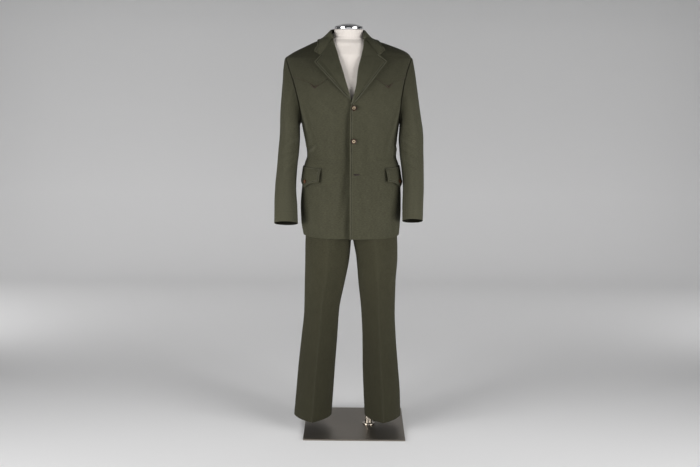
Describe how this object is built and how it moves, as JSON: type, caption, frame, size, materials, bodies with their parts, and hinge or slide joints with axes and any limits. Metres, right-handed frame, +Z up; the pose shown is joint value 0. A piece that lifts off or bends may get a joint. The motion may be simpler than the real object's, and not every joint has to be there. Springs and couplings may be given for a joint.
{
  "type": "western suit on a dress form stand",
  "caption": "Western suit, jacket with pointed yokes and flaps over flared trousers, on a limbless dress form with a pole and a square base plate.",
  "frame": {"origin": "on the underside of the base plate, straight below the middle of the suit", "axes": "+Z up, the front faces -Y, +X is the wearer's left"},
  "size_m": [0.5523, 0.38, 1.5283],
  "materials": {
    "wool": "dark olive twill",
    "horn": "polished brown horn",
    "form_cover": "cream jersey",
    "chrome": "polished",
    "black_metal": "black",
    "plate_steel": "brushed"
  },
  "bodies": {
    "root": {"jacket_front_left": "wool", "jacket_yoke_left": "wool", "jacket_back_left": "wool", "jacket_lapel_left": "wool", "sleeve_upper_left": "wool", "sleeve_under_left": "wool", "pocket_flap_left": "wool", "trouser_front_left": "wool", "trouser_back_left": "wool", "jacket_front_right": "wool", "jacket_yoke_right": "wool", "jacket_back_right": "wool", "jacket_lapel_right": "wool", "sleeve_upper_right": "wool", "sleeve_under_right": "wool", "pocket_flap_right": "wool", "trouser_front_right": "wool", "trouser_back_right": "wool", "jacket_collar": "wool", "trouser_waistband": "wool", "button_front_1": "horn", "button_front_2": "horn", "button_front_3": "horn", "button_flap_left": "horn", "button_flap_right": "horn", "dress_form": "form_cover", "neck_cap": "chrome", "stand_pole": "chrome", "pole_socket": "chrome", "socket_screw": "black_metal", "base_plate": "plate_steel"}
  },
  "joints": []
}
